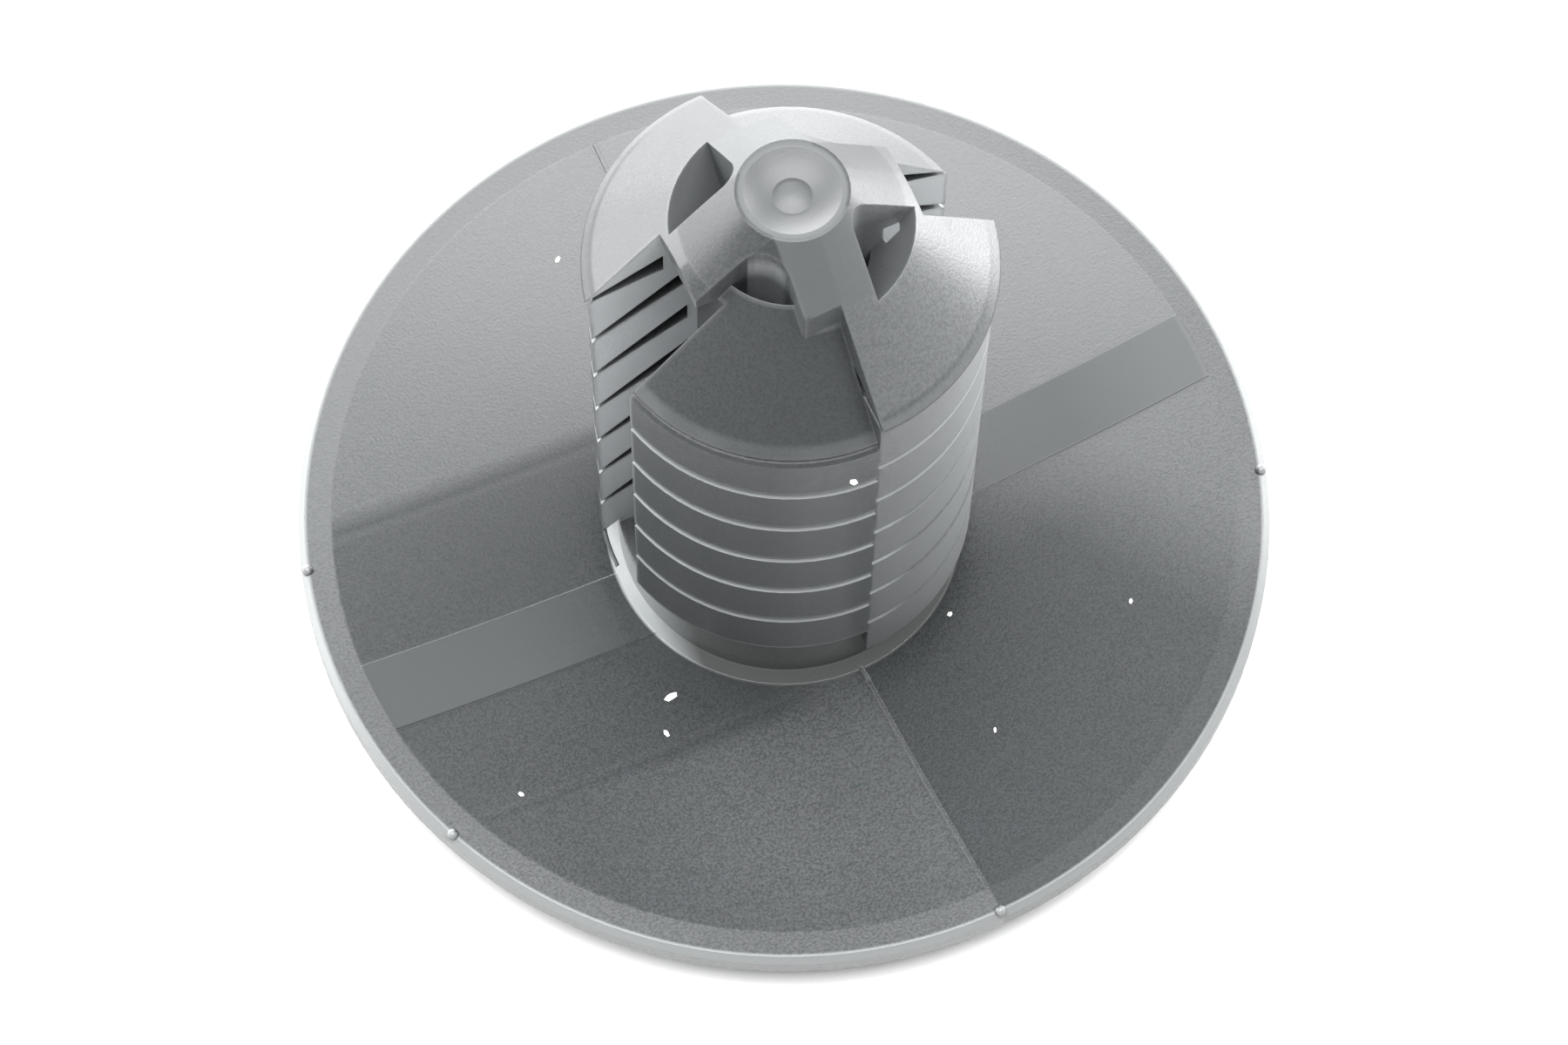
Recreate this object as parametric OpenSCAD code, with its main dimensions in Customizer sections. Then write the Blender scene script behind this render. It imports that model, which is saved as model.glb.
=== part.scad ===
// Push-in trim clip: a dished disc head with a barbed shank, moulded in one piece.
// The outer face of the head rests on z = 0, the shank points up and its side slots lie along X.

/* [Head] */
// Diameter of the disc head
head_d = 30; // [24:0.5:36]
// Thickness of the disc at its rim
head_t = 0.9; // [0.7:0.05:1.4]
// Height that the dished disc rises from its centre to its rim
dish_rise = 1.75; // [1.2:0.05:2.4]
// Diameter of the flat land in the middle of the outer face
land_d = 12; // [9:0.5:14]
// Width of the flatter band along the rim
rim_band_w = 1.0; // [0.8:0.1:2]
// Drop of the rim band at the edge, below the dish
rim_band_drop = 0.14; // [0.05:0.01:0.25]
// Chamfer on the rim's upper edge
rim_chamfer = 0.2; // [0.1:0.05:0.3]
// Width of the two low strips that run out from the slots
strip_w = 2.35; // [1.5:0.05:3]
// Sideways shift of the strips from the middle of the slots
strip_shift = 0.55; // [0:0.05:0.8]
// Height of the strips above the dish
strip_h = 0.03; // [0.02:0.01:0.1]
// Width of the fine mould line across the dish
witness_w = 0.12; // [0.08:0.01:0.25]
// Height of the fine mould line above the dish
witness_h = 0.05; // [0.03:0.01:0.1]
// Radius of the small nibs on the rim
nib_r = 0.18; // [0.1:0.02:0.2]

/* [Shank] */
// Radius of the plain collar under the barbs
collar_r = 5.15; // [4.7:0.05:5.3]
// Chamfer where the collar meets the disc
collar_foot = 0.35; // [0.2:0.05:0.6]
// Radius over the barbs
barb_r = 5.72; // [5.4:0.02:6]
// Radius of the core that carries the barbs
root_r = 2.9; // [2.7:0.05:3.2]
// Number of barbs in each of the two lower quarters, without the nose
low_barb_count = 6; // [4:1:6]
// Number of barbs in each of the two higher quarters, without the nose
high_barb_count = 7; // [4:1:7]
// Height from one barb to the next
barb_pitch = 2.18; // [2:0.02:2.26]
// Height of the top barb's lip in the two lower quarters
barb_top_z = 15.1; // [14.6:0.1:17]
// Height by which the two higher quarters are staggered
stagger = 0.8; // [0.5:0.05:1.2]
// Drop of a barb for each millimetre outwards
barb_slope = 0.66; // [0.5:0.02:0.75]
// Gap under a barb at the core
gap_inner = 0.8; // [0.5:0.05:0.95]
// Gap under a barb at its lip
gap_outer = 0.14; // [0.1:0.02:0.3]
// Chamfer on the upper edge of each barb
barb_chamfer = 0.1; // [0.05:0.01:0.15]
// Width of the side slots
slot_w = 2.55; // [2.2:0.05:3]
// Distance from the axis to the closed end of each slot
slot_end_x = 2.3; // [2.2:0.05:2.6]
// Height of the floor of the slots
slot_floor_z = 2.9; // [2.4:0.1:4]

/* [Nose] */
// Radius of the nose edge in the two lower quarters
low_skirt_r = 5.6; // [5.4:0.02:5.9]
// Height of the lower nose edge above the top barb's lip
low_skirt_rise = 2.0; // [1.7:0.05:2.2]
// Rise of the lower part of the nose for each millimetre inwards
low_nose_slope = 1.15; // [1.05:0.05:1.25]
// Radius of the nose edge in the two higher quarters
high_skirt_r = 5.86; // [5.75:0.02:6.1]
// Height of the higher nose edge above the top barb's lip
high_skirt_rise = 2.4; // [2.2:0.05:2.7]
// Rise of the higher part of the nose for each millimetre inwards
high_nose_slope = 0.97; // [0.94:0.01:1.1]
// Drop of the gap under the higher nose edge for each millimetre outwards
skirt_slope = 0.36; // [0.3:0.02:0.45]
// Inner radius of the gap under the higher nose edge
skirt_root_r = 3.55; // [3.5:0.05:3.9]
// Width of the cross arms at the tip
arm_w = 2.1; // [1.8:0.05:2.2]
// Distance from the axis to the ends of the cross arms over the slots
slot_arm_reach = 3.4; // [3:0.05:3.5]
// Distance from the axis to the ends of the cross arms between the slots
seam_arm_reach = 3.05; // [2.8:0.05:3.8]
// Fillet between the cross arms in the lower quarters
low_fillet = 1.0; // [0.4:0.05:1.1]
// Fillet between the cross arms in the higher quarters
high_fillet = 0.6; // [0.3:0.05:1.1]
// Height from the roof of the slots to the tip
roof_depth = 2.3; // [2:0.05:2.4]
// Radius of the hub at the tip
hub_r = 1.58; // [1.5:0.02:1.7]
// Radius of the dimple in the hub
dimple_r = 1.36; // [1:0.02:1.45]
// Depth of the dimple
dimple_depth = 0.4; // [0.2:0.05:0.6]
// Radius of the gate stub in the dimple
gate_r = 0.66; // [0.3:0.02:0.8]
// Height of the gate stub above the dimple's floor
gate_h = 0.2; // [0.1:0.02:0.3]
// Radius of the rim of the windows in the lower quarters
low_window_r = 2.55; // [2.4:0.05:2.7]
// Radius of the rim of the windows in the higher quarters
high_window_r = 3.4; // [3.2:0.05:3.45]
// Radius of the windows at depth
deep_window_r = 2.2; // [2:0.05:2.3]
// Depth over which a window narrows
window_funnel_h = 1.5; // [1.2:0.1:1.8]
// Depth of the windows below the tip
window_depth = 10.6; // [8:0.2:12]

/* [Hidden] */
$fn = 96;
dish_fn = 240;
// Overlap that keeps joined solids and cuts from ending flush
over = 0.2;
head_r = head_d / 2;
land_r = land_d / 2;
// Radius of the sphere whose cap rises by dish_rise over the head
dish_r = (head_r * head_r + dish_rise * dish_rise) / (2 * dish_rise);
function cap(r) = dish_r - sqrt(dish_r * dish_r - r * r);
land_cut = cap(land_r);
rim_low_z = dish_rise - land_cut;
rim_top_z = rim_low_z + head_t;
dish_z = rim_top_z - dish_rise;
function dish_at(r) = dish_z + cap(r);
band_r = head_r - rim_band_w;
slot_half = slot_w / 2;
arm_half = arm_w / 2;
shank_base_z = dish_z / 2;
core_r = root_r - over;
// Each pair of quarters: turn of its first quarter, barbs, nose edge and window
LOW = 0;
HIGH = 1;
quarter_turn = [0, 90];
barb_count = [low_barb_count, high_barb_count];
top_lip_z = [barb_top_z, barb_top_z + stagger];
skirt_r = [low_skirt_r, high_skirt_r];
skirt_z = [top_lip_z[LOW] + low_skirt_rise, top_lip_z[HIGH] + high_skirt_rise];
skirt_gap_r = [root_r, skirt_root_r];
skirt_gap_slope = [barb_slope, skirt_slope];
nose_slope = [low_nose_slope, high_nose_slope];
window_r = [low_window_r, high_window_r];
fillet = [low_fillet, high_fillet];
function nose_at(pair, r) = skirt_z[pair] + nose_slope[pair] * (skirt_r[pair] - r);
tip_z = nose_at(HIGH, hub_r);
slot_roof_z = tip_z - roof_depth;
window_floor_z = tip_z - window_depth;
// Directions of the nibs on the rim, from the X axis
nib_turns = [163.5, 202.2, 270, 338.9];
// Radius of the web that the fillets between the arms are cut from
web_r = low_window_r - over / 4;
fillet_steps = 8;
clip_color = "#4b4d4f";

// Outline of the slanted gap under a lip, from the chamfered edge below it up to the lip
function gap_points(lip_r, lip_z, inner_r, slope) =
    let (inner_z = lip_z + slope * (lip_r - inner_r), edge_z = lip_z - gap_outer)
    [
        [barb_r, edge_z - barb_chamfer],
        [barb_r - barb_chamfer, edge_z],
        [inner_r, inner_z - gap_inner],
        [inner_r, inner_z],
        [lip_r, lip_z]
    ];

// Disc with a dished inner face, a domed outer face and a flat land to rest on
module head() {
    difference() {
        intersection() {
            translate([0, 0, dish_r - land_cut]) sphere(dish_r, $fn = dish_fn);
            cylinder(r = head_r, h = rim_top_z, $fn = dish_fn);
        }
        translate([0, 0, dish_z + dish_r]) sphere(dish_r, $fn = dish_fn);
        rim_band();
    }
    for (side = [0, 1]) mirror([side, 0, 0]) strip();
    mould_line();
    for (turn = nib_turns) rotate([0, 0, turn]) rim_nib();
}

// Cut that flattens the dish along the rim and breaks its edge
module rim_band() {
    edge_z = dish_at(head_r) - rim_band_drop;
    rotate_extrude($fn = dish_fn) polygon([
        [band_r, dish_at(band_r)],
        [head_r - rim_chamfer, edge_z],
        [head_r, edge_z - rim_chamfer],
        [head_r + over, edge_z - rim_chamfer],
        [head_r + over, rim_top_z + over],
        [band_r, rim_top_z + over]
    ]);
}

// Thin skin on the dish, inside the rim band
module dish_skin(height) {
    intersection() {
        translate([0, 0, dish_z - over + dish_r]) sphere(dish_r, $fn = dish_fn);
        difference() {
            cylinder(r = band_r, h = rim_top_z, $fn = dish_fn);
            translate([0, 0, dish_z + height + dish_r]) sphere(dish_r, $fn = dish_fn);
        }
    }
}

// Low strip that runs up the dish from the collar to the rim band
module strip() {
    intersection() {
        dish_skin(strip_h);
        translate([collar_r, -strip_w / 2 - strip_shift, 0]) cube([head_r, strip_w, rim_top_z]);
    }
}

// Small rounded nib on the edge of the rim
module rim_nib() {
    translate([head_r - rim_chamfer, 0, dish_at(head_r) - rim_band_drop]) sphere(nib_r);
}

// Fine raised line that the mould's halves leave across the dish
module mould_line() {
    intersection() {
        dish_skin(witness_h);
        translate([-witness_w / 2, -band_r, 0]) cube([witness_w, 2 * band_r, rim_top_z]);
    }
}

// Plain collar with a chamfered foot, and the core that carries the barbs
module collar_and_core() {
    foot_z = dish_at(collar_r + collar_foot);
    collar_top_z = low_lip_at(LOW) - gap_outer;
    rotate_extrude() polygon([
        [0, shank_base_z],
        [collar_r + collar_foot, shank_base_z],
        [collar_r + collar_foot, foot_z],
        [collar_r, foot_z + collar_foot],
        [collar_r, collar_top_z],
        [core_r, collar_top_z],
        [core_r, skirt_z[LOW]],
        [0, skirt_z[LOW]]
    ]);
}

// Height of the lowest barb's lip
function low_lip_at(pair) = top_lip_z[pair] - (barb_count[pair] - 1) * barb_pitch;

// A quarter turn of barbs with its part of the nose, starting at the X axis
module barbs(pair) {
    inner_r = hub_r - over;
    last = barb_count[pair] - 1;
    low_lip_z = low_lip_at(pair);
    rotate_extrude(angle = 90) polygon(concat(
        [[inner_r, low_lip_z + barb_slope * (barb_r - inner_r)], [barb_r, low_lip_z]],
        [
            for (i = [last - 1 : -1 : 0])
                each gap_points(barb_r, top_lip_z[pair] - i * barb_pitch, root_r, barb_slope)
        ],
        gap_points(skirt_r[pair], skirt_z[pair], skirt_gap_r[pair], skirt_gap_slope[pair]),
        [[hub_r, nose_at(pair, hub_r)], [inner_r, nose_at(pair, hub_r)]]
    ));
}

// Four arms and the hub at the tip, level with the higher part of the nose
module cross() {
    intersection() {
        rotate_extrude() polygon([
            [0, skirt_z[LOW]],
            [skirt_r[HIGH], skirt_z[LOW]],
            [skirt_r[HIGH], skirt_z[HIGH]],
            [hub_r, tip_z],
            [0, tip_z]
        ]);
        union() {
            translate([-arm_half, -seam_arm_reach, skirt_z[LOW]])
                cube([arm_w, 2 * seam_arm_reach, tip_z]);
            translate([-slot_arm_reach, -arm_half, slot_roof_z])
                cube([2 * slot_arm_reach, arm_w, tip_z]);
            translate([0, 0, slot_roof_z]) cylinder(r = web_r, h = tip_z);
        }
    }
}

// Slot along X, roofed near the axis and open above further out
module slot() {
    translate([slot_end_x, -slot_half, slot_floor_z])
        cube([head_r, slot_w, slot_roof_z - slot_floor_z]);
    translate([slot_arm_reach, -slot_half, slot_floor_z])
        cube([head_r, slot_w, tip_z]);
}

// Deep window between two cross arms, rounded where the arms meet
module window(pair) {
    rim_r = window_r[pair];
    rim_z = nose_at(pair, rim_r);
    inner = arm_half + fillet[pair];
    intersection() {
        rotate_extrude() polygon([
            [0, window_floor_z],
            [deep_window_r, window_floor_z],
            [deep_window_r, rim_z - window_funnel_h],
            [rim_r, rim_z],
            [rim_r, tip_z + over],
            [0, tip_z + over]
        ]);
        linear_extrude(2 * tip_z) polygon(concat(
            [
                for (i = [0 : fillet_steps]) let (turn = 180 + 90 * i / fillet_steps)
                    [inner + fillet[pair] * cos(turn), inner + fillet[pair] * sin(turn)]
            ],
            [[head_r, arm_half], [head_r, head_r], [arm_half, head_r]]
        ));
    }
}

module dimple() {
    ball_r = (dimple_r * dimple_r + dimple_depth * dimple_depth) / (2 * dimple_depth);
    translate([0, 0, tip_z - dimple_depth + ball_r]) sphere(ball_r);
}

// Rounded stub that the moulding gate leaves in the dimple
module gate_stub() {
    ball_r = (gate_r * gate_r + gate_h * gate_h) / (2 * gate_h);
    translate([0, 0, tip_z - dimple_depth + gate_h - ball_r]) sphere(ball_r);
}

module clip() {
    color(clip_color) {
        difference() {
            union() {
                head();
                collar_and_core();
                for (side = [0, 180], pair = [LOW, HIGH])
                    rotate([0, 0, side + quarter_turn[pair]]) barbs(pair);
                cross();
            }
            for (side = [0, 180]) rotate([0, 0, side]) slot();
            for (side = [0, 180], pair = [LOW, HIGH])
                rotate([0, 0, side + quarter_turn[pair]]) window(pair);
            dimple();
        }
        gate_stub();
    }
}

clip();
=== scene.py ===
"""Looks of the push-in trim clip: plastic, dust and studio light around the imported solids."""

import math
from types import SimpleNamespace

import bpy
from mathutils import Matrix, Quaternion, Vector


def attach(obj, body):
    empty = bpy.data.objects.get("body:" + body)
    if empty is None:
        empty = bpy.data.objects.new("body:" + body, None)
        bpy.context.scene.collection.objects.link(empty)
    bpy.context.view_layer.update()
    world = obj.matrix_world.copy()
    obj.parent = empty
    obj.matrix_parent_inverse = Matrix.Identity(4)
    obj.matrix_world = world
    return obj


MM = 0.001
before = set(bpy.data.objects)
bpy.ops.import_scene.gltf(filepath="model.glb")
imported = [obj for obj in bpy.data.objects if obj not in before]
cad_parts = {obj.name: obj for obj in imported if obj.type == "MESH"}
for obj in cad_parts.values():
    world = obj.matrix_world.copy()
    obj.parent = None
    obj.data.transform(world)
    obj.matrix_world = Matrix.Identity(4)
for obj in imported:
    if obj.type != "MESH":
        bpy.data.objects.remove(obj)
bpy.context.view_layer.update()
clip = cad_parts["clip"]
scene = bpy.context.scene

# Places on the clip that its material follows, in metres
EDGE = 0.08 * MM
SLOT_HALF = 1.275 * MM
BARB_R = 5.95 * MM
LIP_R = 5.72 * MM
NOSE_EDGE = 16.6 * MM
COLLAR_TOP = 2.9 * MM
FOOT_R = 5.5 * MM
FOOT_TOP = 1.3 * MM
STRIP_MIDDLE = -0.55 * MM
STRIP_HALF = 1.175 * MM
RIM_BAND_R = 14.0 * MM
RIM_R = 14.7 * MM
WINDOW_R = 3.6 * MM
WINDOW_FOOT = 14.0 * MM
CORNER_R = 2.2 * MM
CORNER_TOP = 21.8 * MM
HUB_R = 1.45 * MM
TIP = 22.45 * MM
BAND_MIDDLE = -0.3 * MM
BAND_HALF = 5.3 * MM
ARM_HALF = 1.05 * MM
ARM_FOOT = 19.2 * MM
ARM_REACH = 3.1 * MM

# Fades longer than an edge: a width, or the places where a fade starts and ends
STRIP_START = 4 * EDGE
STRIP_END = 2 * EDGE
ARM_START = 4 * EDGE
TIP_FADE = 10 * EDGE
WINDOW_FADE = 10 * EDGE
CORNER_FADE = 5 * EDGE
LIP_FADE = 2 * EDGE
FOOT_FADE = 2 * EDGE
NOSE_FADE = 5 * EDGE
BAND_FADE = (3 * EDGE, -5 * EDGE)
BAND_LINE_FADE = (8 * EDGE, 0.0)
STRIP_SHADE_FADE = (6.5 * MM, 9.5 * MM)
RIGHT_STRIP_FADE = (7.0 * MM, 13.0 * MM)
LEFT_FADE = (-1.0 * MM, -3.0 * MM)
PATCH_FADE = (0.0, -4.0 * MM)
PATCH_SIDE_FADE = (9.0 * MM, 5.0 * MM)
FRONT_LEFT_FADE = (-5.2 * MM, -5.6 * MM)
FRONT_LEFT_SIDE_FADE = (-5.0 * MM, -10.0 * MM)
RIM_BAND_FADE = (0.0, 12.0 * MM)
LOW_BARBS_FADE = (COLLAR_TOP, 9.0 * MM)
HIGH_BARBS_FADE = (10.0 * MM, 14.0 * MM)
RIGHT_BARBS_FADE = (1.5 * MM, 0.5 * MM)
LIT_SIDE_FADE = (0.0, 4.5 * MM)
LIT_SIDE_BACK_FADE = (1.0 * MM, -0.5 * MM)
COLLAR_SIDE_FADE = (-4.3 * MM, -5.1 * MM)
PATCH_SLANT = 0.55

# How strong an area still is at the weak end of its fade
STRIP_SHADE_FAINT = 0.4
RIGHT_STRIP_FAINT = 0.45
LOW_BARBS_FAINT = 0.5
RIGHT_BARBS_FAINT = 0.1
LIT_SIDE_FAINT = 0.5
NOSE_RUB_HIGHLIGHT_FAINT = 0.5

# How far a face leans, as one part of its normal: where a mask starts and where it is full
SLOT_WALL_LEAN = (0.9, 0.97)
WINDOW_LEAN = (-0.1, -0.4)
CORNER_LEAN = (0.5, 0.8)
NOSE_LEAN = (0.2, 0.4)
CHAMFER_LEAN = (0.3, 0.5)
LIT_SIDE_LEAN = (0.9, 0.3)
RIM_TOP_LEAN = (0.3, 0.6)

# Worn edges with painted highlights: their width, and how open the inside of an edge is
WORN_HIGHLIGHT_WIDTH = 0.14 * MM
WORN_HIGHLIGHT_RANGE = (0.95, 0.45)
WORN_HIGHLIGHT_SAMPLES = 8

# Grain of the plastic: scale and detail of each noise, and the range of it that is used
GRAIN = (12000.0, 2.0)
SPECKLE = (9000.0, 1.0)
CLOUD = (260.0, 3.0)
GRAIN_RANGE = (0.36, 0.64)
SPECKLE_RANGE = (0.4, 0.65)
CLOUD_RANGE = (0.35, 0.65)

# Tones of the plastic, from the grain and painted shade up to painted light and the pale worn
# places
DARK_GRAIN_TONE = (0.024, 0.028, 0.029)
PALE_GRAIN_TONE = (0.044, 0.051, 0.053)
SPECKLE_TONE = (0.056, 0.048, 0.053)
CLOUD_TONE = (0.056, 0.064, 0.066)
STRIP_TONE = (0.052, 0.058, 0.060)
PAINTED_SHADE_TONE = (0.018, 0.021, 0.022)
LIT_SIDE_TONE = (0.25, 0.26, 0.265)
WINDOW_LIGHT_TONE = (0.095, 0.100, 0.102)
CORNER_LIGHT_TONE = (0.18, 0.19, 0.195)
SLOT_WALL_LIGHT_TONE = (0.46, 0.48, 0.49)
ARM_TONE = (0.080, 0.088, 0.090)
COLLAR_LIGHT_TONE = (0.095, 0.100, 0.100)
FOOT_TONE = (0.045, 0.048, 0.048)
COLLAR_SIDE_LIGHT_TONE = (0.31, 0.33, 0.33)
HUB_TONE = (0.065, 0.070, 0.072)
RIM_BAND_TONE = (0.085, 0.090, 0.093)
RIM_LIGHT_TONE = (0.09, 0.095, 0.095)
RIM_TOP_HIGHLIGHT_TONE = (0.20, 0.21, 0.21)
RUBBED_HIGHLIGHT_TONE = (0.16, 0.17, 0.17)
CHAMFER_HIGHLIGHT_TONE = (0.31, 0.33, 0.33)

# How much of a tone an area takes
SPECKLE_SHARE = 0.35
CLOUD_SHARE = 0.3
PAINTED_SHADE_SHARE = 0.5
LIT_SIDE_SHARES = (0.75, 1.0)
ARM_SHARE = 0.8
RIM_BAND_SHARE = 0.7
RIM_SHARE = 0.8
RUBBED_HIGHLIGHT_SHARES = (0.3, 0.8)
CHAMFER_HIGHLIGHT_SHARE = 0.9

# How dark and dull each area is: painted shade on the dish and the low nose, and a darker,
# duller cross of arms
BAND_SHADE = 0.8
BAND_LINE_SHADE = 0.95
PATCH_SHADE = 0.95
RIGHT_STRIP_SHADE = 0.8
FRONT_LEFT_SHADE = 0.7
LOW_NOSE_SHADE = 0.9
CROSS_DULL = 0.6

# Finish of the plastic
ROUGHNESS = (0.31, 0.41)
HUB_ROUGHNESS = 0.48
STRIP_ROUGHNESS = 0.55
GLOSS = 0.7
DULL_GLOSS = 0.35
PLASTIC_IOR = 1.55
ROUNDING = 0.05 * MM
ROUNDING_SAMPLES = 6
BUMP_STRENGTH = 0.3
BUMP_HEIGHT = 0.02 * MM

# Smooth skins on one barb's round wall in the two high quarters, in millimetres and degrees
SKIN_R = 5.722
SKIN_LOW = 5.0
SKIN_HIGH = 6.94
SKIN_TURNS = [(91.0, 166.5), (-89.0, -13.5)]
SKIN_STEPS = 150

# Specks of dust: a place they settle from, the way to the clip, and their size, in millimetres
ABOVE = 40
IN_FRONT = -20
DOWN = (0, 0, -1)
INWARD = (0, 1, 0)
DUST = [
    ((-2.69, 10.99, ABOVE), DOWN, 0.11),
    ((-5.72, -3.90, ABOVE), DOWN, 0.20),
    ((-0.74, IN_FRONT, 15.4), INWARD, 0.20),
    ((-6.37, -4.98, ABOVE), DOWN, 0.12),
    ((-11.27, -5.14, ABOVE), DOWN, 0.10),
    ((3.24, -5.06, ABOVE), DOWN, 0.10),
    ((8.31, -7.31, ABOVE), DOWN, 0.09),
    ((2.67, -9.25, ABOVE), DOWN, 0.08),
]
FLAKE_CORNERS = 7
FLAKE_WAVE = 0.3
FLAKE_WIDTH = 0.7
FLAKE_HEIGHT = 0.35
DUST_NOISE = (9000.0, 2.0)
DUST_TONES = ((0.80, 0.80, 0.78), (0.95, 0.95, 0.93))
DUST_ROUGHNESS = 0.9

# Floor, in metres, and the light tent's level on the sides and towards the front
FLOOR_SIZE = 3.0
FLOOR_TONE = (0.92, 0.92, 0.92)
FLOOR_ROUGHNESS = 0.9
TENT_LEVEL = 0.30
TENT_FRONT_LEVEL = 0.08
TENT_FRONT = (-0.55, -0.65, 0.45)
TENT_FADE = (0.1, 0.85)
BACKGROUND_WHITE = 1.0

# Camera, fitted to the photo: degrees and millimetres, and the clipping range in metres
CAMERA_TURN = -27.05
CAMERA_RISE = 65.52
CAMERA_ROLL = 1.49
CAMERA_DISTANCE = 150.0
CAMERA_TARGET = (0, 0, 0.74)
SENSOR_WIDTH = 36.0
LENS = 110.56
CLIP_RANGE = (0.005, 20.0)

# Sockets of Blender's mix node: the two inputs and the output for colours and for numbers
MIX_COLOR_INPUTS = (6, 7)
MIX_COLOR_OUTPUT = 2
MIX_VALUE_INPUTS = (2, 3)
MIX_VALUE_OUTPUT = 0


def material(name):
    mat = bpy.data.materials.new(name)
    mat.use_nodes = True
    tree = mat.node_tree
    return mat, tree, tree.nodes["Principled BSDF"]


def feed(tree, socket, value):
    """Puts a number or a colour on a socket, or links it to another node's output."""
    if isinstance(value, (int, float)):
        socket.default_value = value
    elif isinstance(value, tuple):
        socket.default_value = (*value, 1)
    else:
        tree.links.new(value, socket)


def math_node(tree, operation, a, b=0.0):
    made = tree.nodes.new("ShaderNodeMath")
    made.operation = operation
    feed(tree, made.inputs[0], a)
    feed(tree, made.inputs[1], b)
    return made.outputs[0]


def absolute(tree, value):
    return math_node(tree, "ABSOLUTE", value)


def apart(tree, a, b):
    return absolute(tree, math_node(tree, "SUBTRACT", a, b))


def total(tree, a, b):
    return math_node(tree, "ADD", a, b)


def either(tree, a, b):
    return math_node(tree, "MAXIMUM", a, b)


def product(tree, *masks):
    result = masks[0]
    for mask in masks[1:]:
        result = math_node(tree, "MULTIPLY", result, mask)
    return result


def ramp(tree, source, low, high, low_value=0.0, high_value=1.0):
    made = tree.nodes.new("ShaderNodeMapRange")
    feed(tree, made.inputs["Value"], source)
    made.inputs["From Min"].default_value = low
    made.inputs["From Max"].default_value = high
    made.inputs["To Min"].default_value = low_value
    made.inputs["To Max"].default_value = high_value
    return made.outputs["Result"]


def noise(tree, coords, scale, detail):
    made = tree.nodes.new("ShaderNodeTexNoise")
    made.inputs["Scale"].default_value = scale
    made.inputs["Detail"].default_value = detail
    tree.links.new(coords.outputs["Object"], made.inputs["Vector"])
    return made.outputs["Fac"]


def mix_color(tree, mask, below, above):
    made = tree.nodes.new("ShaderNodeMix")
    made.data_type = "RGBA"
    feed(tree, made.inputs[0], mask)
    for socket, value in zip(MIX_COLOR_INPUTS, (below, above)):
        feed(tree, made.inputs[socket], value)
    return made.outputs[MIX_COLOR_OUTPUT]


def mix_value(tree, mask, below, above):
    made = tree.nodes.new("ShaderNodeMix")
    feed(tree, made.inputs[0], mask)
    for socket, value in zip(MIX_VALUE_INPUTS, (below, above)):
        feed(tree, made.inputs[socket], value)
    return made.outputs[MIX_VALUE_OUTPUT]


def surface(tree, coords):
    """Where a point lies on the clip and which way its face leans."""
    place = tree.nodes.new("ShaderNodeSeparateXYZ")
    tree.links.new(coords.outputs["Object"], place.inputs[0])
    x, y, z = place.outputs
    shape = tree.nodes.new("ShaderNodeNewGeometry")
    lean = tree.nodes.new("ShaderNodeSeparateXYZ")
    tree.links.new(shape.outputs["True Normal"], lean.inputs[0])
    lean_x, lean_y, lean_z = lean.outputs
    far_x, far_y = absolute(tree, x), absolute(tree, y)
    radius = math_node(tree, "SQRT", total(tree, product(tree, x, x), product(tree, y, y)))
    from_axis = total(tree, product(tree, x, lean_x), product(tree, y, lean_y))
    return SimpleNamespace(
        x=x, y=y, z=z, far_x=far_x, far_y=far_y, radius=radius, lean_y=lean_y, lean_z=lean_z,
        from_arms=math_node(tree, "MINIMUM", far_x, far_y),
        outward=math_node(tree, "DIVIDE", from_axis, radius))


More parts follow.
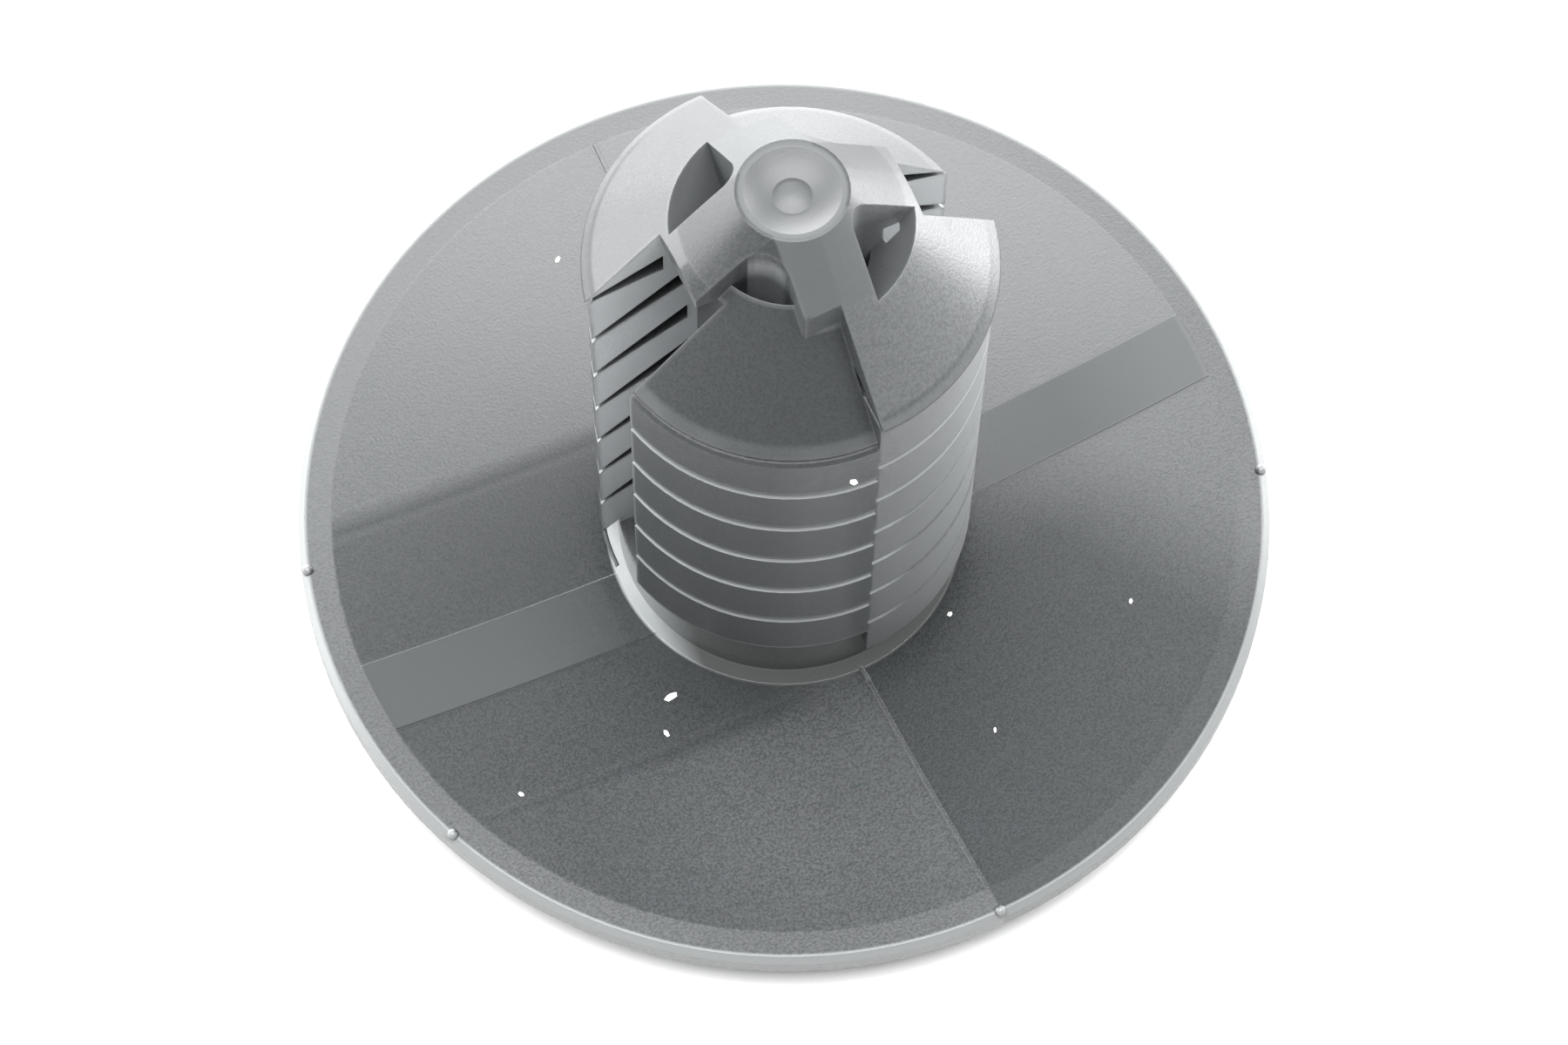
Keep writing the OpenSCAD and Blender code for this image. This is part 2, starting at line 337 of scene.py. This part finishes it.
def dish_areas(tree, at):
    """Masks of the dish: its raised strip, its painted shadows and shade, which also shine
    less, and its rim with painted light.
    """
    strip = product(
        tree,
        ramp(tree, apart(tree, at.y, STRIP_MIDDLE), STRIP_HALF + EDGE, STRIP_HALF - EDGE),
        ramp(tree, at.far_x, BARB_R, BARB_R + STRIP_START),
        ramp(tree, at.radius, RIM_BAND_R, RIM_BAND_R - STRIP_END),
        # painted shade: the strip fades near the shank
        ramp(tree, at.radius, *STRIP_SHADE_FADE, STRIP_SHADE_FAINT))
    left_dish = product(
        tree,
        ramp(tree, at.x, *LEFT_FADE),
        ramp(tree, at.radius, RIM_BAND_R, RIM_BAND_R - EDGE),
        ramp(tree, at.radius, FOOT_R, FOOT_R + EDGE))
    band_edge = math_node(tree, "SUBTRACT", apart(tree, at.y, BAND_MIDDLE), BAND_HALF)
    slanted = total(tree, at.x, product(tree, at.y, PATCH_SLANT))
    rim = ramp(tree, at.radius, RIM_R, RIM_R + EDGE)
    return SimpleNamespace(
        strip=strip,
        # painted shadow of the shank on the dish to its left, darker along its edges
        shadow_band=product(tree, left_dish, ramp(tree, band_edge, *BAND_FADE)),
        shadow_band_line=product(
            tree, left_dish, ramp(tree, absolute(tree, band_edge), *BAND_LINE_FADE)),
        # painted shade on the front left of the dish
        front_left_shade=product(
            tree, left_dish,
            ramp(tree, at.x, *FRONT_LEFT_SIDE_FADE),
            ramp(tree, at.y, *FRONT_LEFT_FADE)),
        # painted shade on the dish to the right of the shank, towards the front
        right_shade_patch=product(
            tree,
            ramp(tree, at.x, 0.0, EDGE),
            ramp(tree, at.y, *PATCH_FADE),
            ramp(tree, slanted, *PATCH_SIDE_FADE),
            ramp(tree, at.radius, FOOT_R, FOOT_R + EDGE)),
        # painted shade on the right half of the strip, strongest near the shank
        right_strip_shade=product(
            tree, strip,
            ramp(tree, at.x, 0.0, BARB_R),
            ramp(tree, at.radius, *RIGHT_STRIP_FADE, 1.0, RIGHT_STRIP_FAINT)),
        # painted light on the rim's edge, and a painted highlight on its top
        rim=rim,
        rim_top=product(tree, rim, ramp(tree, at.lean_z, *RIM_TOP_LEAN)),
        rim_band=product(
            tree,
            ramp(tree, at.radius, RIM_BAND_R - EDGE, RIM_BAND_R),
            ramp(tree, at.y, *RIM_BAND_FADE)))


def nose_areas(tree, at):
    """Masks of the nose: its hub, its cross of arms, its windows and corners with painted
    light, and its low quarter with painted shade.
    """
    arm_length = product(
        tree,
        ramp(tree, at.radius, ARM_REACH + EDGE, ARM_REACH),
        ramp(tree, at.z, ARM_FOOT, ARM_FOOT + ARM_START))
    beside_arms = either(
        tree,
        ramp(tree, at.radius, ARM_REACH, ARM_REACH + EDGE),
        ramp(tree, at.from_arms, ARM_HALF, ARM_HALF + EDGE))
    return SimpleNamespace(
        hub=product(
            tree,
            ramp(tree, at.radius, HUB_R + EDGE, HUB_R),
            ramp(tree, at.z, ARM_FOOT, TIP - TIP_FADE)),
        arms=product(tree, ramp(tree, at.far_x, ARM_HALF + EDGE, ARM_HALF), arm_length),
        cross=product(
            tree,
            ramp(tree, at.from_arms, ARM_HALF + EDGE, ARM_HALF),
            ramp(tree, at.radius, HUB_R, HUB_R + EDGE),
            arm_length),
        # painted shade on the low quarter of the nose, which faces the front
        low_nose_shade=product(
            tree,
            ramp(tree, at.x, 0.0, -EDGE),
            ramp(tree, at.y, 0.0, -EDGE),
            ramp(tree, at.lean_z, *NOSE_LEAN),
            ramp(tree, at.z, NOSE_EDGE - EDGE, NOSE_EDGE),
            beside_arms,
            ramp(tree, at.radius, BARB_R + EDGE, BARB_R)),
        # painted light on the inner walls of the windows, which lie in shade
        window=product(
            tree,
            ramp(tree, at.outward, *WINDOW_LEAN),
            ramp(tree, at.radius, WINDOW_R, WINDOW_R - EDGE),
            ramp(tree, at.z, WINDOW_FOOT, WINDOW_FOOT + WINDOW_FADE)),
        # painted light on the core's outward corners inside the windows
        corner=product(
            tree,
            ramp(tree, at.outward, *CORNER_LEAN),
            ramp(tree, at.radius, CORNER_R, CORNER_R - EDGE),
            ramp(tree, at.z, CORNER_TOP, CORNER_TOP - CORNER_FADE)))


def shank_areas(tree, at):
    """Masks of the shank: slot walls and chamfers with painted light, its side that faces right
    with painted light, the collar, and worn edges with painted highlights.
    """
    on_shank = ramp(tree, at.radius, BARB_R + EDGE, BARB_R)
    over_collar = ramp(tree, at.z, COLLAR_TOP, COLLAR_TOP + EDGE)
    in_foot = ramp(tree, at.radius, FOOT_R + EDGE, FOOT_R)
    collar = product(tree, in_foot, ramp(tree, at.z, COLLAR_TOP, COLLAR_TOP - EDGE))
    return SimpleNamespace(
        # painted light: the slot walls are pale against the shade inside the slot
        lit_slot_wall=product(
            tree,
            ramp(tree, apart(tree, at.far_y, SLOT_HALF), EDGE, EDGE / 2),
            ramp(tree, absolute(tree, at.lean_y), *SLOT_WALL_LEAN),
            on_shank,
            over_collar),
        # painted highlight: the chamfer on top of each barb is painted pale, as thin bright
        # lines
        chamfer_highlight=product(
            tree,
            ramp(tree, at.lean_z, *CHAMFER_LEAN),
            ramp(tree, at.radius, LIP_R - LIP_FADE, LIP_R - EDGE),
            ramp(tree, at.z, NOSE_EDGE, NOSE_EDGE - EDGE),
            over_collar,
            ramp(tree, at.z, *LOW_BARBS_FADE, LOW_BARBS_FAINT),
            either(
                tree,
                ramp(tree, at.x, *RIGHT_BARBS_FADE, RIGHT_BARBS_FAINT),
                ramp(tree, at.z, *HIGH_BARBS_FADE, RIGHT_BARBS_FAINT))),
        # painted light: the side of the shank that faces right is paler
        lit_side=product(
            tree,
            ramp(tree, at.x, 0.0, EDGE),
            ramp(tree, at.x, *LIT_SIDE_FADE, LIT_SIDE_FAINT),
            ramp(tree, at.y, *LIT_SIDE_BACK_FADE),
            ramp(tree, at.lean_z, *LIT_SIDE_LEAN),
            on_shank),
        collar=collar,
        # painted light on the left side of the collar
        lit_collar_side=product(tree, collar, ramp(tree, at.x, *COLLAR_SIDE_FADE)),
        foot=product(tree, in_foot, ramp(tree, at.z, FOOT_TOP, FOOT_TOP - FOOT_FADE)),
        # worn edges, rubbed pale, with a painted highlight along them
        rubbed_and_highlit=product(
            tree,
            worn_and_highlit_edges(tree),
            ramp(tree, at.z, NOSE_EDGE, NOSE_EDGE + NOSE_FADE, 1.0, NOSE_RUB_HIGHLIGHT_FAINT),
            either(tree, on_shank, ramp(tree, at.radius, RIM_R - EDGE, RIM_R))))


def worn_and_highlit_edges(tree):
    """Mask of the outward edges, where the plastic is rubbed pale and a highlight is painted.
    """
    inside = tree.nodes.new("ShaderNodeAmbientOcclusion")
    inside.inside = True
    inside.only_local = True
    inside.samples = WORN_HIGHLIGHT_SAMPLES
    inside.inputs["Distance"].default_value = WORN_HIGHLIGHT_WIDTH
    return ramp(tree, inside.outputs["AO"], *WORN_HIGHLIGHT_RANGE)


def shade_and_dull_areas(tree, dish, nose):
    """One mask of the darker areas that shine less: painted shadows and shade on the dish and
    the nose's low quarter, and the cross of arms.
    """
    # painted shade on the dish and the nose's low quarter, and a darker cross of arms, all also
    # shining less
    shade_and_dull = product(tree, dish.shadow_band, BAND_SHADE)
    for mask, share in (
            (dish.shadow_band_line, BAND_LINE_SHADE),
            (dish.right_shade_patch, PATCH_SHADE),
            (dish.right_strip_shade, RIGHT_STRIP_SHADE),
            (dish.front_left_shade, FRONT_LEFT_SHADE),
            (nose.low_nose_shade, LOW_NOSE_SHADE),
            (nose.cross, CROSS_DULL)):
        shade_and_dull = either(tree, shade_and_dull, product(tree, mask, share))
    return shade_and_dull


def fine_relief(tree, grain):
    """Rounded edges and a fine grain, as a normal."""
    rounded = tree.nodes.new("ShaderNodeBevel")
    rounded.samples = ROUNDING_SAMPLES
    rounded.inputs["Radius"].default_value = ROUNDING
    bump = tree.nodes.new("ShaderNodeBump")
    bump.inputs["Strength"].default_value = BUMP_STRENGTH
    bump.inputs["Distance"].default_value = BUMP_HEIGHT
    tree.links.new(grain, bump.inputs["Height"])
    tree.links.new(rounded.outputs["Normal"], bump.inputs["Normal"])
    return bump.outputs["Normal"]


def plastic():
    """Dark semi-gloss plastic, with painted shade in duller areas, painted light on the slot
    walls and other shaded places, and worn edges with painted highlights.
    """
    mat, tree, shader = material("moulded_plastic")
    coords = tree.nodes.new("ShaderNodeTexCoord")
    at = surface(tree, coords)
    dish, nose, shank = dish_areas(tree, at), nose_areas(tree, at), shank_areas(tree, at)
    shade_and_dull = shade_and_dull_areas(tree, dish, nose)
    cloud = noise(tree, coords, *CLOUD)
    grain = noise(tree, coords, *GRAIN)
    speckle = ramp(tree, noise(tree, coords, *SPECKLE), *SPECKLE_RANGE)
    lit_side_grain = ramp(tree, grain, *GRAIN_RANGE, *LIT_SIDE_SHARES)
    rub_highlight_cloud = ramp(tree, cloud, *CLOUD_RANGE, *RUBBED_HIGHLIGHT_SHARES)

    tone = mix_color(tree, ramp(tree, grain, *GRAIN_RANGE), DARK_GRAIN_TONE, PALE_GRAIN_TONE)
    for mask, layer in (
            (product(tree, speckle, SPECKLE_SHARE), SPECKLE_TONE),
            (product(tree, cloud, CLOUD_SHARE), CLOUD_TONE),
            (dish.strip, STRIP_TONE),
            # painted shade: a darker tone on the shaded, duller areas
            (product(tree, shade_and_dull, PAINTED_SHADE_SHARE), PAINTED_SHADE_TONE),
            # painted light on the side of the shank that faces right
            (product(tree, shank.lit_side, lit_side_grain), LIT_SIDE_TONE),
            # painted light inside the windows
            (nose.window, WINDOW_LIGHT_TONE),
            # painted light on the corners inside the windows
            (nose.corner, CORNER_LIGHT_TONE),
            # painted light on the slot walls
            (shank.lit_slot_wall, SLOT_WALL_LIGHT_TONE),
            (product(tree, nose.arms, ARM_SHARE), ARM_TONE),
            # painted light: the collar is lifted against the shade under the lowest barbs
            (shank.collar, COLLAR_LIGHT_TONE),
            (shank.foot, FOOT_TONE),
            # painted light on the left side of the collar
            (shank.lit_collar_side, COLLAR_SIDE_LIGHT_TONE),
            (nose.hub, HUB_TONE),
            (product(tree, dish.rim_band, RIM_BAND_SHARE), RIM_BAND_TONE),
            # painted light on the rim's edge
            (product(tree, dish.rim, RIM_SHARE), RIM_LIGHT_TONE),
            # painted highlight on the top of the rim
            (dish.rim_top, RIM_TOP_HIGHLIGHT_TONE),
            # worn edges with painted highlights
            (product(tree, shank.rubbed_and_highlit, rub_highlight_cloud), RUBBED_HIGHLIGHT_TONE),
            # painted highlight on the barb chamfers
            (product(tree, shank.chamfer_highlight, CHAMFER_HIGHLIGHT_SHARE), CHAMFER_HIGHLIGHT_TONE)):
        tone = mix_color(tree, mask, tone, layer)
    tree.links.new(tone, shader.inputs["Base Color"])

    roughness = ramp(tree, grain, *GRAIN_RANGE, *ROUGHNESS)
    roughness = mix_value(tree, nose.hub, roughness, HUB_ROUGHNESS)
    roughness = mix_value(tree, dish.strip, roughness, STRIP_ROUGHNESS)
    tree.links.new(roughness, shader.inputs["Roughness"])
    gloss = mix_value(tree, shade_and_dull, GLOSS, DULL_GLOSS)
    tree.links.new(gloss, shader.inputs["Specular IOR Level"])
    shader.inputs["IOR"].default_value = PLASTIC_IOR
    tree.links.new(fine_relief(tree, grain), shader.inputs["Normal"])
    return mat


def dust_material():
    mat, tree, shader = material("dust")
    coords = tree.nodes.new("ShaderNodeTexCoord")
    tone = mix_color(tree, noise(tree, coords, *DUST_NOISE), *DUST_TONES)
    tree.links.new(tone, shader.inputs["Base Color"])
    shader.inputs["Roughness"].default_value = DUST_ROUGHNESS
    return mat


def floor_material():
    mat, tree, shader = material("white_floor")
    feed(tree, shader.inputs["Base Color"], FLOOR_TONE)
    shader.inputs["Roughness"].default_value = FLOOR_ROUGHNESS
    return mat


def paint(obj, mat):
    for i in range(max(1, len(obj.material_slots))):
        if len(obj.material_slots) <= i:
            obj.data.materials.append(mat)
        else:
            obj.material_slots[i].link = "DATA"
            obj.material_slots[i].material = mat


def new_piece(name, points, faces, mat):
    mesh = bpy.data.meshes.new(name)
    mesh.from_pydata(points, [], faces)
    mesh.materials.append(mat)
    obj = bpy.data.objects.new(name, mesh)
    scene.collection.objects.link(obj)
    return obj


def speck(place, way, size, mat, order):
    """A flat flake of dust that lies on the clip."""
    _, spot, normal, _ = clip.ray_cast(Vector(place) * MM, Vector(way))
    points = []
    for i in range(FLAKE_CORNERS):
        angle = 2 * math.pi * i / FLAKE_CORNERS
        reach = size * MM * (1 + FLAKE_WAVE * math.sin(2 * angle + order))
        points.append((reach * math.cos(angle), FLAKE_WIDTH * reach * math.sin(angle), 0.0))
    points.append((0, 0, FLAKE_HEIGHT * size * MM))
    faces = [(i, (i + 1) % FLAKE_CORNERS, FLAKE_CORNERS) for i in range(FLAKE_CORNERS)]
    obj = new_piece(f"dust_{order}", points, faces, mat)
    obj.location = spot
    obj.rotation_mode = "QUATERNION"
    obj.rotation_quaternion = normal.to_track_quat("Z", "Y") @ Quaternion((0, 0, 1), order)
    bpy.context.view_layer.update()
    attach(obj, "root")


def wall_skin(start, end, mat, order):
    """A thin curved skin on the round wall of a barb."""
    points = []
    for level in (SKIN_LOW, SKIN_HIGH):
        for i in range(SKIN_STEPS + 1):
            angle = math.radians(start + (end - start) * i / SKIN_STEPS)
            x, y = SKIN_R * MM * math.cos(angle), SKIN_R * MM * math.sin(angle)
            points.append((x, y, level * MM))
    row = SKIN_STEPS + 1
    faces = [(i, i + 1, row + i + 1, row + i) for i in range(SKIN_STEPS)]
    obj = new_piece(f"barb_skin_{order}", points, faces, mat)
    obj.data.shade_smooth()
    bpy.context.view_layer.update()
    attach(obj, "root")


def stage_plane(name, size, mat):
    half = size / 2
    points = [(-half, -half, 0), (half, -half, 0), (half, half, 0), (-half, half, 0)]
    obj = new_piece(name, points, [(0, 1, 2, 3)], mat)


def softbox(name, place, target, width, height, power, turn=0.0):
    lamp = bpy.data.lights.new(name, "AREA")
    lamp.shape = "RECTANGLE"
    lamp.size = width
    lamp.size_y = height
    lamp.energy = power
    obj = bpy.data.objects.new(name, lamp)
    obj.location = place
    obj.rotation_mode = "QUATERNION"
    aim = (Vector(target) - Vector(place)).to_track_quat("-Z", "Y")
    obj.rotation_quaternion = aim @ Quaternion((0, 0, 1), math.radians(turn))
    scene.collection.objects.link(obj)


def light_tent(level, front_level, front):
    """Surroundings that light the clip less from its front, and that look white."""
    world = bpy.data.worlds.new("light_tent")
    scene.world = world
    world.use_nodes = True
    tree = world.node_tree
    background = tree.nodes["Background"]
    background.inputs["Color"].default_value = (1, 1, 1, 1)
    coords = tree.nodes.new("ShaderNodeTexCoord")
    facing = tree.nodes.new("ShaderNodeVectorMath")
    facing.operation = "DOT_PRODUCT"
    tree.links.new(coords.outputs["Generated"], facing.inputs[0])
    facing.inputs[1].default_value = Vector(front).normalized()
    tent = ramp(tree, facing.outputs["Value"], *TENT_FADE, level, front_level)
    rays = tree.nodes.new("ShaderNodeLightPath")
    seen = rays.outputs["Is Camera Ray"]
    for kind in ("Is Glossy Ray", "Is Transmission Ray"):
        seen = either(tree, seen, rays.outputs[kind])
    strength = mix_value(tree, seen, tent, BACKGROUND_WHITE)
    tree.links.new(strength, background.inputs["Strength"])


def camera():
    data = bpy.data.cameras.new("camera")
    data.sensor_width = SENSOR_WIDTH
    data.lens = LENS
    data.clip_start, data.clip_end = CLIP_RANGE
    obj = bpy.data.objects.new("camera", data)
    turn, rise, roll = map(math.radians, (CAMERA_TURN, CAMERA_RISE, CAMERA_ROLL))
    back = Vector((
        math.sin(turn) * math.cos(rise), -math.cos(turn) * math.cos(rise), math.sin(rise)))
    obj.location = Vector(CAMERA_TARGET) * MM + back * CAMERA_DISTANCE * MM
    obj.rotation_mode = "QUATERNION"
    obj.rotation_quaternion = (-back).to_track_quat("-Z", "Y") @ Quaternion((0, 0, 1), roll)
    scene.collection.objects.link(obj)
    scene.camera = obj


moulded = plastic()
paint(clip, moulded)
for order, (start, end) in enumerate(SKIN_TURNS):
    wall_skin(start, end, moulded, order)
flakes = dust_material()
for order, (place, way, size) in enumerate(DUST):
    speck(place, way, size, flakes, order)
stage_plane("floor", FLOOR_SIZE, floor_material())
light_tent(TENT_LEVEL, TENT_FRONT_LEVEL, TENT_FRONT)
softbox("overhead", place=(-0.02, -0.02, 0.34), target=(-0.02, -0.02, 0),
        width=0.46, height=0.28, power=3.1, turn=-22)
softbox("behind", place=(0.05, 0.36, 0.08), target=(0, 0, 0.014),
        width=0.44, height=0.14, power=2.8)
softbox("left", place=(-0.26, 0.22, 0.08), target=(0, 0, 0.008),
        width=0.30, height=0.16, power=1.0)
softbox("right", place=(0.36, 0.06, 0.08), target=(0, 0, 0.012),
        width=0.22, height=0.14, power=1.5)
camera()
scene.view_settings.view_transform = "Standard"
